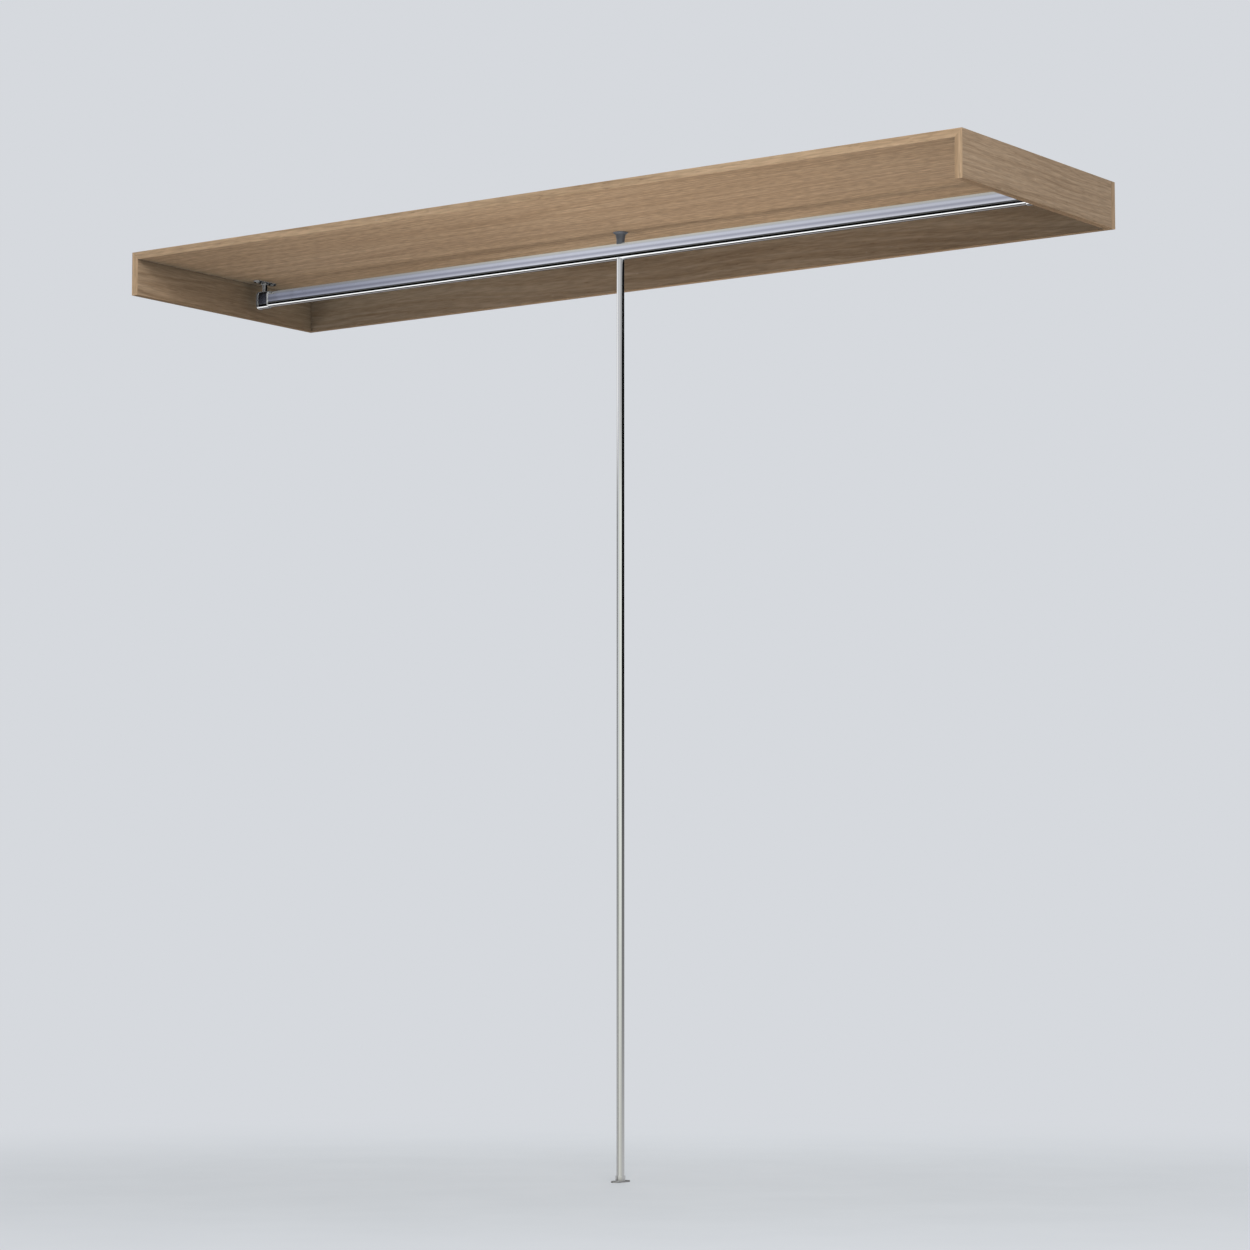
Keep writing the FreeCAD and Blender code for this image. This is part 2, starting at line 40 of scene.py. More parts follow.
# Left strips: a paler copy of the front edging, painted light
LEFT_EDGE_PAINTED_LIGHTER = ((0.700, 0.500, 0.315, 1), (0.605, 0.418, 0.256, 1), (0.480, 0.318, 0.184, 1))
# Low strips: a darker copy of the oak, painted shade
LOW_EDGE_PAINTED_SHADE = ((0.443, 0.292, 0.173, 1), (0.328, 0.207, 0.115, 1), (0.235, 0.148, 0.080, 1))
BEECH = ((0.62, 0.46, 0.30, 1), (0.56, 0.40, 0.25, 1), (0.48, 0.33, 0.20, 1))
PORE = (0.185, 0.110, 0.055, 1)
RAY = (1.0, 0.88, 0.70, 1)
WORN_OAK = (0.700, 0.500, 0.315, 1)

# What the camera sees behind the object
BACKGROUND = (0.672, 0.694, 0.730, 1)

# Places of the colour sockets on a Mix node: two inputs and the output
MIX_FIRST = 6
MIX_SECOND = 7
MIX_RESULT = 2

# Samples of the nodes that look for corners and edges
CORNER_SAMPLES = 4
# Cosine between a rounded normal and the face's own, where an edge begins and where it is full
EDGE_TURN = (0.995, 0.85)


class Graph:
    """A node tree with short ways to add nodes and links."""

    def __init__(self, tree):
        self.tree = tree
        tree.nodes.clear()

    def node(self, kind, **settings):
        """Add a node and set its properties."""
        made = self.tree.nodes.new(kind)
        for name, value in settings.items():
            setattr(made, name, value)
        return made

    def put(self, socket, value):
        """Link an output, or set a constant on the socket itself."""
        if isinstance(value, bpy.types.NodeSocket):
            self.tree.links.new(value, socket)
        else:
            socket.default_value = value

    def math(self, operation, first, second=0.0):
        made = self.node("ShaderNodeMath", operation=operation)
        self.put(made.inputs[0], first)
        self.put(made.inputs[1], second)
        return made.outputs[0]

    def plus(self, first, second):
        return self.math("ADD", first, second)

    def minus(self, first, second):
        return self.math("SUBTRACT", first, second)

    def times(self, first, second):
        return self.math("MULTIPLY", first, second)

    def over(self, first, second):
        return self.math("DIVIDE", first, second)

    def total(self, *parts):
        """The sum of values, each times its share."""
        result = self.times(*parts[0])
        for value, share in parts[1:]:
            result = self.plus(result, self.times(value, share))
        return result

    def vector(self, operation, first, second=None):
        made = self.node("ShaderNodeVectorMath", operation=operation)
        self.put(made.inputs[0], first)
        if second is not None:
            self.put(made.inputs[1], second)
        if operation in ("DOT_PRODUCT", "LENGTH"):
            return made.outputs["Value"]
        return made.outputs["Vector"]

    def split(self, vector):
        made = self.node("ShaderNodeSeparateXYZ")
        self.put(made.inputs[0], vector)
        return made.outputs

    def join(self, x, y, z):
        made = self.node("ShaderNodeCombineXYZ")
        for socket, value in zip(made.inputs, (x, y, z)):
            self.put(socket, value)
        return made.outputs[0]

    def place(self):
        """The spot on the object, in metres."""
        return self.node("ShaderNodeTexCoord").outputs["Object"]

    def moved_place(self, seed, step):
        """The spot on the object, moved by the seed so that materials of a kind differ."""
        return self.vector("ADD", self.place(), [seed * length for length in step])

    def noise(self, vector, scale=1.0, detail=2.0, roughness=0.5, distortion=0.0):
        made = self.node("ShaderNodeTexNoise")
        self.put(made.inputs["Vector"], vector)
        self.put(made.inputs["Scale"], scale)
        self.put(made.inputs["Detail"], detail)
        self.put(made.inputs["Roughness"], roughness)
        self.put(made.inputs["Distortion"], distortion)
        return made.outputs["Fac"]

    def range(self, value, low, high, to_low=0.0, to_high=1.0):
        """A smooth step from one range of values to another."""
        made = self.node("ShaderNodeMapRange", interpolation_type="SMOOTHSTEP")
        self.put(made.inputs["Value"], value)
        self.put(made.inputs["From Min"], low)
        self.put(made.inputs["From Max"], high)
        self.put(made.inputs["To Min"], to_low)
        self.put(made.inputs["To Max"], to_high)
        return made.outputs["Result"]

    def blend(self, factor, first, second, mode="MIX"):
        made = self.node("ShaderNodeMix", data_type="RGBA", blend_type=mode)
        self.put(made.inputs["Factor"], factor)
        self.put(made.inputs[MIX_FIRST], first)
        self.put(made.inputs[MIX_SECOND], second)
        return made.outputs[MIX_RESULT]

    def tint(self, colour, red, green, blue):
        """A colour times a factor for each channel."""
        return self.blend(1.0, colour, self.join(red, green, blue), "MULTIPLY")

    def ramp(self, value, stops):
        """Colours along a value from 0 to 1, from stops of position and colour."""
        made = self.node("ShaderNodeValToRGB")
        ramp = made.color_ramp
        ramp.elements[0].position, ramp.elements[0].color = stops[0]
        ramp.elements[1].position, ramp.elements[1].color = stops[-1]
        for position, colour in stops[1:-1]:
            ramp.elements.new(position).color = colour
        self.put(made.inputs[0], value)
        return made.outputs["Color"]

    def dial(self, angle, stops):
        """A ramp round the circle: the angle in radians, the stops in degrees from -180 to 180."""
        share = self.plus(self.over(angle, 2 * math.pi), 0.5)
        return self.ramp(share, [((degrees + 180) / 360, colour) for degrees, colour in stops])

    def scale(self, value, stops):
        """A ramp whose stops are given on the value's own scale."""
        low = stops[0][0]
        length = stops[-1][0] - low
        share = self.over(self.minus(value, low), length)
        return self.ramp(share, [((spot - low) / length, colour) for spot, colour in stops])

    def shelter(self, reach):
        """1 in the open, lower where other faces stand nearer than the reach."""
        made = self.node("ShaderNodeAmbientOcclusion", samples=CORNER_SAMPLES)
        self.put(made.inputs["Distance"], reach)
        return made.outputs["AO"]

    def bump(self, height, strength, distance, normal=None):
        made = self.node("ShaderNodeBump")
        self.put(made.inputs["Height"], height)
        self.put(made.inputs["Strength"], strength)
        self.put(made.inputs["Distance"], distance)
        if normal is not None:
            self.put(made.inputs["Normal"], normal)
        return made.outputs["Normal"]

    def rounded(self, radius):
        """The normal of the piece with its edges rounded a little."""
        made = self.node("ShaderNodeBevel", samples=CORNER_SAMPLES)
        self.put(made.inputs["Radius"], radius)
        return made.outputs["Normal"]

    def edges(self, radius):
        """About 1 along the convex and concave edges of the piece, 0 on its faces."""
        plain = self.node("ShaderNodeNewGeometry").outputs["Normal"]
        facing = self.vector("DOT_PRODUCT", self.rounded(radius), plain)
        return self.range(facing, *EDGE_TURN)


def new_material(name):
    """A material, its node tree and the shader in it."""
    material = bpy.data.materials.new(name)
    material.use_nodes = True
    graph = Graph(material.node_tree)
    shader = graph.node("ShaderNodeBsdfPrincipled")
    output = graph.node("ShaderNodeOutputMaterial")
    graph.put(output.inputs["Surface"], shader.outputs["BSDF"])
    return material, graph, shader


# Oak veneer: leaves side by side, each with the arched rings of a log cut off its heart.
# Lengths are in metres.
LEAF_WIDTH = 0.165
HEART_DEPTH = 0.030
TAPER = 0.030
RING_WIDTH = 0.0062
# The least share of a leaf's width at which its heart line lies, and how much that varies
HEART_LEAST = 0.25
HEART_SPREAD = 0.5
# How far the heart line wanders and the rings ripple
WANDER_REACH = 0.075
RIPPLE_REACH = 0.004
# How fast the rings change from leaf to leaf and along the board
LEAF_STEP = 7.3
RING_DRIFT = 0.6
# Depth counts with the side, so that faces at right angles have grain too
DEPTH_SHARE = 0.83
# How far one step of the seed moves the pattern on each axis
OAK_STEP = (3.17, 1.73, 2.31)

# Noise: scale, detail and roughness
RINGS = (1.0, 2.0, 0.6)
# Noise drawn out along the grain: marks to the metre along and across it, layer, detail and
# roughness
WANDER = (1.6, 5.0, 1.0, 3.0, 0.5)
RIPPLE = (7.0, 60.0, 2.0, 2.0, 0.5)
STREAKS = (2.2, 95.0, 3.0, 3.0, 0.6)
FIBRES = (9.0, 620.0, 4.0, 3.0, 0.6)
PORES = (45.0, 380.0, 5.0, 1.0, 0.5)
FLECKS = (70.0, 190.0, 6.0, 2.0, 0.5)
CLOUDS = (1.5, 3.4, 7.0, 2.0, 0.5)
# Short marks along the grain: such a noise, and the darkest and palest factor
LONG_DASHES = ((26.0, 330.0, 8.0, 1.0, 0.5), (0.88, 1.10))
SHORT_DASHES = ((38.0, 215.0, 8.0, 1.0, 0.5), (0.80, 1.16))

# What each pattern adds to the tone, and where the tone is dark, middle and pale
RING_SHARE = 0.50
STREAK_SHARE = 0.36
FIBRE_SHARE = 0.22
CLOUD_SHARE = 0.20
LEAF_SHARE = 0.05
TONE_STOPS = (0.51, 0.665, 0.82)

# Where noise turns into pores, ray flecks and dashes, and how much these show
PORE_RANGE = (0.60, 0.74)
PORE_BY_RING = (0.62, 0.40, 0.2, 1.0)
PORE_DEPTH = 0.42
RAY_RANGE = (0.64, 0.78)
RAY_DEPTH = 0.09
DASH_RANGE = (0.30, 0.70)
WORN_RADIUS = 0.0012
WORN_DEPTH = 0.25

# Painted shade in inner corners, deeper in red than in blue, and painted shade along joint lines
NOOK_REACH = 0.35
NOOK_RANGE = (0.05, 0.82)
SHADE_RED = 1.45
SHADE_BLUE = 0.75
SEAM_REACH = 0.008
SEAM_RANGE = (0.50, 0.86)

# Roughness of the lacquer and what fibres and pores add to it, gloss, and relief.
# A bump is its strength and its height.
OAK_ROUGHNESS = 0.48
FIBRE_ROUGHNESS = 0.16
PORE_ROUGHNESS = 0.12
OAK_SPECULAR = 0.22
FIBRE_HEIGHT = 0.5
OAK_BUMP = (0.35, 0.0002)


def grain_axes(graph, along, seed):
    """The run along the grain and the side across it."""
    x, y, z = graph.split(graph.moved_place(seed, OAK_STEP))
    run, side, depth = {"X": (x, y, z), "Y": (y, z, x), "Z": (z, x, y)}[along]
    return run, graph.plus(side, graph.times(depth, DEPTH_SHARE))


def stretched(graph, run, side, pattern):
    """Noise drawn out along the grain."""
    run_scale, side_scale, layer, detail, roughness = pattern
    spot = graph.join(graph.times(run, run_scale), graph.times(side, side_scale), layer)
    return graph.noise(spot, 1.0, detail, roughness)


def log_rings(graph, run, side, figure):
    """The rings, the shade of each leaf by chance, and how far its heart line wanders."""
    number = graph.math("FLOOR", graph.over(side, LEAF_WIDTH))
    leaf = graph.node("ShaderNodeTexWhiteNoise", noise_dimensions="1D")
    graph.put(leaf.inputs["W"], number)
    chance = leaf.outputs["Value"]
    wander = graph.minus(stretched(graph, run, side, WANDER), 0.5)
    wander = graph.times(wander, WANDER_REACH * figure)
    within = graph.minus(side, graph.times(number, LEAF_WIDTH))
    heart = graph.plus(LEAF_WIDTH * HEART_LEAST, graph.times(chance, LEAF_WIDTH * HEART_SPREAD))
    off = graph.plus(graph.minus(within, heart), wander)
    reach = graph.math("SQRT", graph.plus(graph.times(off, off), HEART_DEPTH ** 2))
    ring = graph.minus(reach, graph.times(run, TAPER))
    ring = graph.plus(ring, graph.times(stretched(graph, run, side, RIPPLE), RIPPLE_REACH))
    ring = graph.over(ring, RING_WIDTH)
    spot = graph.join(ring, graph.times(number, LEAF_STEP), graph.times(run, RING_DRIFT))
    return graph.noise(spot, *RINGS), chance, wander


def oak(name, along, tones, seed, figure=1.0, dashes=LONG_DASHES, nook_shade=0.34, seam_shade=0.30):
    """Lacquered oak veneer with its grain along one axis.

    The figure is how far the heart lines wander. Inner corners and joint lines get painted shade:
    the nook is what is left of the colour deep in a corner, and the seam what is left of it on a
    joint line.
    """
    material, graph, shader = new_material(name)
    pale, middle, dark = tones
    run, side = grain_axes(graph, along, seed)
    rings, chance, wander = log_rings(graph, run, side, figure)
    streaks = stretched(graph, run, graph.plus(side, wander), STREAKS)
    fibres = stretched(graph, run, side, FIBRES)
    clouds = stretched(graph, run, side, CLOUDS)
    tone = graph.total(
        (rings, RING_SHARE),
        (streaks, STREAK_SHARE),
        (fibres, FIBRE_SHARE),
        (clouds, CLOUD_SHARE),
        (chance, LEAF_SHARE),
    )
    colour = graph.ramp(tone, list(zip(TONE_STOPS, (dark, middle, pale))))

    pits = graph.range(stretched(graph, run, side, PORES), *PORE_RANGE)
    pits = graph.times(pits, graph.range(rings, *PORE_BY_RING))
    colour = graph.blend(graph.times(pits, PORE_DEPTH), colour, PORE)
    rays = graph.range(stretched(graph, run, side, FLECKS), *RAY_RANGE)
    colour = graph.blend(graph.times(rays, RAY_DEPTH), colour, RAY, "SCREEN")
    marks, factors = dashes
    dash = graph.range(stretched(graph, run, side, marks), *DASH_RANGE, *factors)
    colour = graph.tint(colour, dash, dash, dash)
    worn = graph.times(graph.edges(WORN_RADIUS), WORN_DEPTH)
    colour = graph.blend(worn, colour, WORN_OAK)

    # Painted shade: the colour darker, and cooler, where other faces stand near, and darker on
    # joint lines
    shade = graph.range(graph.shelter(NOOK_REACH), *NOOK_RANGE, nook_shade, 1.0)
    shade_red = graph.math("POWER", shade, SHADE_RED)
    shade_blue = graph.math("POWER", shade, SHADE_BLUE)
    colour = graph.tint(colour, shade_red, shade, shade_blue)
    painted_seam_shade = graph.range(graph.shelter(SEAM_REACH), *SEAM_RANGE, seam_shade, 1.0)
    colour = graph.tint(colour, painted_seam_shade, painted_seam_shade, painted_seam_shade)

    graph.put(shader.inputs["Base Color"], colour)
    rough = graph.plus(OAK_ROUGHNESS, graph.times(fibres, FIBRE_ROUGHNESS))
    rough = graph.plus(rough, graph.times(pits, PORE_ROUGHNESS))
    graph.put(shader.inputs["Roughness"], rough)
    shader.inputs["Specular IOR Level"].default_value = OAK_SPECULAR
    relief = graph.minus(graph.times(fibres, FIBRE_HEIGHT), pits)
    graph.put(shader.inputs["Normal"], graph.bump(relief, *OAK_BUMP))
    return material


# Chrome tones: clean, smeared, painted shade close to other faces, and along edges partly rubbed
# and partly painted highlight
CHROME = (0.84, 0.85, 0.86, 1)
CHROME_SMEAR = (0.70, 0.71, 0.73, 1)
CHROME_SHADE = (0.085, 0.080, 0.078, 1)
CHROME_RUB_AND_EDGE_HIGHLIGHT = grey(0.93)
# How far one step of the seed moves the pattern on each axis
CHROME_STEP = (1.3, 0.7, 2.1)
# Noise: scale, detail, roughness and distortion
SMEARS = (22.0, 4.0, 0.6, 0.4)
CHROME_GRAINS = (900.0, 2.0, 0.5)
# Hairline scratches run along X: marks to the metre on each axis, then noise as above
HAIR_MARKS = (40.0, 900.0, 900.0)
HAIRS = (1.0, 1.0)
SCRATCH_RANGE = (0.70, 0.76)
# From noise to the smear's colour and roughness
SMEAR_SHOWN = (0.45, 0.75, 0.0, 0.10)
SMEAR_ROUGHNESS = (0.35, 0.75, 0.035, 0.085)
SCRATCH_ROUGHNESS = 0.06
# Relief of grains and scratches, and the bump's strength and height in metres
GRAIN_HEIGHT = 0.3
SCRATCH_HEIGHT = -0.6
CHROME_BUMP = (0.04, 0.00004)
# Bright edges on tubes and on castings, partly a light rub and partly a painted highlight: radius
# in metres, and how much they show
TUBE_EDGE = 0.0006
TUBE_EDGE_SHOWN = 0.35
CAST_EDGE = 0.0012
CAST_EDGE_SHOWN = 0.85
# Reach of the painted shade in nooks on castings, in metres, and where the shelter turns into that
# shade
BRACKET_NOOK = 0.10
FOOT_NOOK = 0.012
CAST_NOOK_RANGE = (0.88, 0.48)
# Half the curvature of the rod's slightly crowned sides, per metre
CROWN_BEND = 7.8


def chrome(name, seed, crown=None, nook_shade=None):
    """Polished chrome with faint smears and hairline scratches.

    A crown bulges upright flats about a height. A nook is for castings: their edges are rounded
    and get a painted highlight, and faces that stand closer than the nook to others get painted
    shade.
    """
    material, graph, shader = new_material(name)
    place = graph.moved_place(seed, CHROME_STEP)
    smears = graph.noise(place, *SMEARS)
    grains = graph.noise(place, *CHROME_GRAINS)
    hairs = graph.noise(graph.vector("MULTIPLY", place, HAIR_MARKS), *HAIRS)
    scratch = graph.range(hairs, *SCRATCH_RANGE)
    colour = graph.blend(graph.range(smears, *SMEAR_SHOWN), CHROME, CHROME_SMEAR)
    if nook_shade is None:
        # Tubes: edges a little brighter, partly rubbed and partly a painted highlight
        bright = graph.times(graph.edges(TUBE_EDGE), TUBE_EDGE_SHOWN)
        base = None
    else:
        # Castings: painted shade where other faces stand near, and a painted highlight along the
        # edges
        shade = graph.range(graph.shelter(nook_shade), *CAST_NOOK_RANGE)
        colour = graph.blend(shade, colour, CHROME_SHADE)
        bright = graph.times(graph.edges(CAST_EDGE), CAST_EDGE_SHOWN)
        base = graph.rounded(CAST_EDGE)
    colour = graph.blend(bright, colour, CHROME_RUB_AND_EDGE_HIGHLIGHT)
    graph.put(shader.inputs["Base Color"], colour)
    shader.inputs["Metallic"].default_value = 1.0
    rough = graph.range(smears, *SMEAR_ROUGHNESS)
    rough = graph.plus(rough, graph.times(scratch, SCRATCH_ROUGHNESS))
    graph.put(shader.inputs["Roughness"], rough)
    height = graph.total((grains, GRAIN_HEIGHT), (scratch, SCRATCH_HEIGHT))
    normal = graph.bump(height, *CHROME_BUMP, base)
    if crown is not None:
        level = graph.split(graph.place())[2]
        lift = graph.minus(level, crown)
        bulge = graph.times(graph.times(lift, lift), -CROWN_BEND)
        normal = graph.bump(bulge, 1.0, 1.0, normal)
    graph.put(shader.inputs["Normal"], normal)
    return material


# Zinc plate: its two tones, cells to the metre, cloud noise, roughness by the clouds, and bump
ZINC_TONES = ((0.42, 0.42, 0.41, 1), (0.62, 0.62, 0.60, 1))
ZINC_CELLS = 700.0
ZINC_CLOUDS = (240.0, 3.0)
ZINC_ROUGHNESS = (0.3, 0.7, 0.24, 0.42)
ZINC_BUMP = (0.1, 0.00005)


def zinc(name):
    """Bright zinc plate with a fine crystal pattern."""
    material, graph, shader = new_material(name)
    place = graph.place()
    cells = graph.node("ShaderNodeTexVoronoi")
    graph.put(cells.inputs["Vector"], place)
    cells.inputs["Scale"].default_value = ZINC_CELLS
    tone = graph.split(cells.outputs["Color"])[0]
    dull, bright = ZINC_TONES
    graph.put(shader.inputs["Base Color"], graph.ramp(tone, [(0.0, dull), (1.0, bright)]))
    shader.inputs["Metallic"].default_value = 1.0
    clouds = graph.noise(place, *ZINC_CLOUDS)
    graph.put(shader.inputs["Roughness"], graph.range(clouds, *ZINC_ROUGHNESS))
    graph.put(shader.inputs["Normal"], graph.bump(tone, *ZINC_BUMP))
    return material


# Grey casting: its two tones with the cloud noise at which each is full, its edges, and its grain
CONE_TONES = ((0.3, (0.145, 0.155, 0.175, 1)), (0.7, (0.185, 0.196, 0.220, 1)))
CONE_CLOUDS = (60.0, 3.0, 0.5)
CONE_EDGE = (0.42, 0.43, 0.45, 1)
CONE_EDGE_RADIUS = 0.0008
CONE_EDGE_SHOWN = 0.5
CONE_METALLIC = 0.75
CONE_GRAINS = (1600.0, 3.0, 0.6)
CONE_ROUGHNESS = (0.3, 0.7, 0.30, 0.44)
CONE_BUMP = (0.12, 0.00006)


def grey_metal(name):
    """Satin dark grey casting with a fine texture and brighter edges."""
    material, graph, shader = new_material(name)
    place = graph.place()
    grains = graph.noise(place, *CONE_GRAINS)
    colour = graph.ramp(graph.noise(place, *CONE_CLOUDS), CONE_TONES)
    bright = graph.times(graph.edges(CONE_EDGE_RADIUS), CONE_EDGE_SHOWN)
    graph.put(shader.inputs["Base Color"], graph.blend(bright, colour, CONE_EDGE))
    shader.inputs["Metallic"].default_value = CONE_METALLIC
    graph.put(shader.inputs["Roughness"], graph.range(grains, *CONE_ROUGHNESS))
    graph.put(shader.inputs["Normal"], graph.bump(grains, *CONE_BUMP))
    return material


# The material of each node
rod_low, rod_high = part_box("hanging_rod")
ROD_LEVEL = (rod_low[2] + rod_high[2]) / 2
# Narrow strips and biscuits have a calmer figure than boards
STRIP_FIGURE = 0.4
BISCUIT_FIGURE = 0.2
# How much painted shade the back and side boards get in corners and on joint lines
BACK_SHADE = {"nook_shade": 0.85, "seam_shade": 0.75}
SIDE_SHADE = {"nook_shade": 0.65, "seam_shade": 0.50}
FINISHES = [
    (["top_board"], oak("oak_top", "X", TOP_OAK, 1.0, dashes=SHORT_DASHES)),
    (["back_board"], oak("oak_back", "X", BACK_OAK_COOL_PAINTED_SHADE, 2.0, **BACK_SHADE)),
    (["left_side_board"], oak("oak_left", "Y", SIDE_OAK_COOL_PAINTED_SHADE, 3.0, **SIDE_SHADE)),
    (["right_side_board"], oak("oak_right", "Y", SIDE_OAK_COOL_PAINTED_SHADE, 4.0, **SIDE_SHADE)),
    (["hanging_rod"], chrome("chrome_rod", 1.0, crown=ROD_LEVEL)),
    (["left_rod_bracket"], chrome("chrome_left_bracket", 2.0, nook_shade=BRACKET_NOOK)),
    (["right_rod_bracket"], chrome("chrome_right_bracket", 3.0, nook_shade=BRACKET_NOOK)),
    (["floor_pole"], chrome("chrome_pole", 4.0)),
    (["pole_plug"], chrome("chrome_plug", 5.0)),
    (["pole_foot"], chrome("chrome_foot", 6.0, nook_shade=FOOT_NOOK)),
    (["centre_cone"], grey_metal("grey_cone")),
    (
        ["top_front_edging", "back_top_edging"],
        oak("oak_edging_along", "X", FRONT_EDGE, 5.0, STRIP_FIGURE),
    ),
    (["back_bottom_edging"], oak("oak_edging_low_along", "X", LOW_EDGE_PAINTED_SHADE, 9.0, STRIP_FIGURE)),
    (
        ["left_bottom_edging", "right_bottom_edging"],
        oak("oak_edging_low_deep", "Y", LOW_EDGE_PAINTED_SHADE, 6.0, STRIP_FIGURE),
    ),
    (
        ["left_front_edging", "back_left_edging"],
        oak("oak_edging_left", "Z", LEFT_EDGE_PAINTED_LIGHTER, 7.0, STRIP_FIGURE),
    ),
    (
        ["right_front_edging", "back_right_edging"],
        oak("oak_edging_right", "Z", FRONT_EDGE, 7.0, STRIP_FIGURE),
    ),
    (
        ["mitre_biscuits", "back_biscuits"],
        oak("beech_biscuits", "X", BEECH, 8.0, BISCUIT_FIGURE),
    ),
    (["bracket_screws", "centre_stud"], zinc("zinc_plate")),
]
MATERIALS = {name: material for names, material in FINISHES for name in names}

for name, thing in nodes_of_frame.items():
    thing.data.materials.clear()
    thing.data.materials.append(MATERIALS[name])

# What polished metal mirrors: a pale room with dark flags, told apart by direction.
# The turn goes round the upright axis, 0 to the front and positive to the left, in degrees.
# The rise goes round the rod's axis, 0 to the front and 90 straight up, in degrees.
WARM_WALL = (0.85, 0.87, 0.81, 1)
FLAG_BROWN = (0.30, 0.28, 0.27, 1)
LILAC_BRIGHT = (0.77, 0.78, 0.87, 1)
LILAC_DEEP = (0.43, 0.44, 0.52, 1)
LILAC_SOFT = (0.64, 0.66, 0.75, 1)

# By turn: above level, about level, and a little below it
HIGH_ROOM = [
    (-180, grey(0.40)),
    (-60, grey(0.43)),
    (-20, grey(0.53)),
    (0, grey(0.62)),
    (45, grey(0.95)),
    (85, grey(0.95)),
    (105, grey(0.60)),
    (180, grey(0.40)),
]
LOW_ROOM = [
    (-180, grey(0.40)),
    (-76, WARM_WALL),
    (-40, WARM_WALL),
    (0, (0.74, 0.76, 0.70, 1)),
    (42, (0.68, 0.70, 0.66, 1)),
    (54, (0.60, 0.62, 0.60, 1)),
    (62, grey(0.24)),
    (118, grey(0.24)),
    (126, grey(0.01)),
    (162, grey(0.01)),
    (172, grey(0.40)),
    (180, grey(0.40)),
]
NEAR_FLOOR = [
    (-180, grey(0.47)),
    (-110, (0.41, 0.41, 0.37, 1)),
    (0, (0.70, 0.70, 0.65, 1)),
    (40, (0.66, 0.66, 0.62, 1)),
    (62, grey(0.44)),
    (118, grey(0.38)),
    (126, grey(0.01)),
    (162, grey(0.01)),
    (172, grey(0.47)),
    (180, grey(0.47)),
]
# The upward share of direction at which one list gives way to the next
LOW_FALL = (-0.06, 0.035)
HIGH_FALL = (0.115, 0.150)

# A dark flag to the right and rear: where it faces, the cosine from there at which it begins and
# is full, and its tones by the upward share of direction
FLAG_FACING = (0.695, 0.719, 0.0)
FLAG_EDGE = (0.39, 0.47)
FLAG_TONES = [
    (-0.060, grey(0.47)),
    (-0.020, grey(0.25)),
    (0.024, grey(0.145)),
    (0.050, grey(0.050)),
    (0.075, grey(0.003)),
]

# Steep directions outside the rod's share, by rise, which only other views show
SOFT_ROOM = [
    (-180, grey(0.30)),
    (-110, grey(0.34)),
    (-95, grey(0.55)),
    (-85, grey(0.95)),
    (-55, grey(0.95)),
    (-42, grey(0.42)),
    (-8, grey(0.32)),
    (6, grey(0.85)),
    (14, grey(0.60)),
    (30, grey(0.75)),
    (60, grey(0.62)),
    (90, grey(0.66)),
    (150, grey(0.55)),
    (180, grey(0.30)),
]
# The upward share of direction at which steep begins and is full, downwards and upwards
STEEP_DOWN = (-0.068, -0.085)
STEEP_UP = (0.20, 0.24)

# The strip that the rod mirrors, by rise: dark flags, a white one below, lilac walls above
ROD_ROOM = [
    (-180, grey(0.008)),
    (-153, grey(0.008)),
    (-149, FLAG_BROWN),
    (-114, FLAG_BROWN),
    (-109, grey(0.06)),
    (-91, grey(0.06)),
    (-86, grey(1.45)),
    (-64, grey(1.45)),
    (-59, grey(0.003)),
    (1.9, grey(0.003)),
    (3.2, LILAC_BRIGHT),
    (5, LILAC_BRIGHT),
    (14, LILAC_DEEP),
    (18, LILAC_DEEP),
    (23, LILAC_SOFT),
    (27, LILAC_SOFT),
    (60, (0.50, 0.51, 0.54, 1)),
    (80, (0.58, 0.57, 0.55, 1)),
    (150, (0.56, 0.54, 0.47, 1)),
    (168, grey(0.008)),
    (180, grey(0.008)),
]
# The leftward share of direction that the strip takes up: start, full, still full, end
ROD_SHARE = (0.440, 0.455, 0.685, 0.700)
# Each place along the rod mirrors one leftward share, so this dims the strip along the rod
ROD_DIM = [
    (0.47, grey(0.84)),
    (0.51, grey(0.88)),
    (0.555, grey(1.0)),
    (0.585, grey(1.0)),
    (0.640, (0.43, 0.44, 0.49, 1)),
    (0.648, (0.43, 0.44, 0.49, 1)),
    (0.651, grey(0.06)),
    (0.700, grey(0.06)),
]
# Only the part above level is dimmed: the rise at which that begins and is full, in radians
DIM_RISE = (0.0, 0.03)
# The lower pole mirrors directions just under level, so the strip is fainter there, up to this
# upward share of direction
FAINT_LEVEL = (0.0, 0.004)
FAINT_STRIP = 0.85


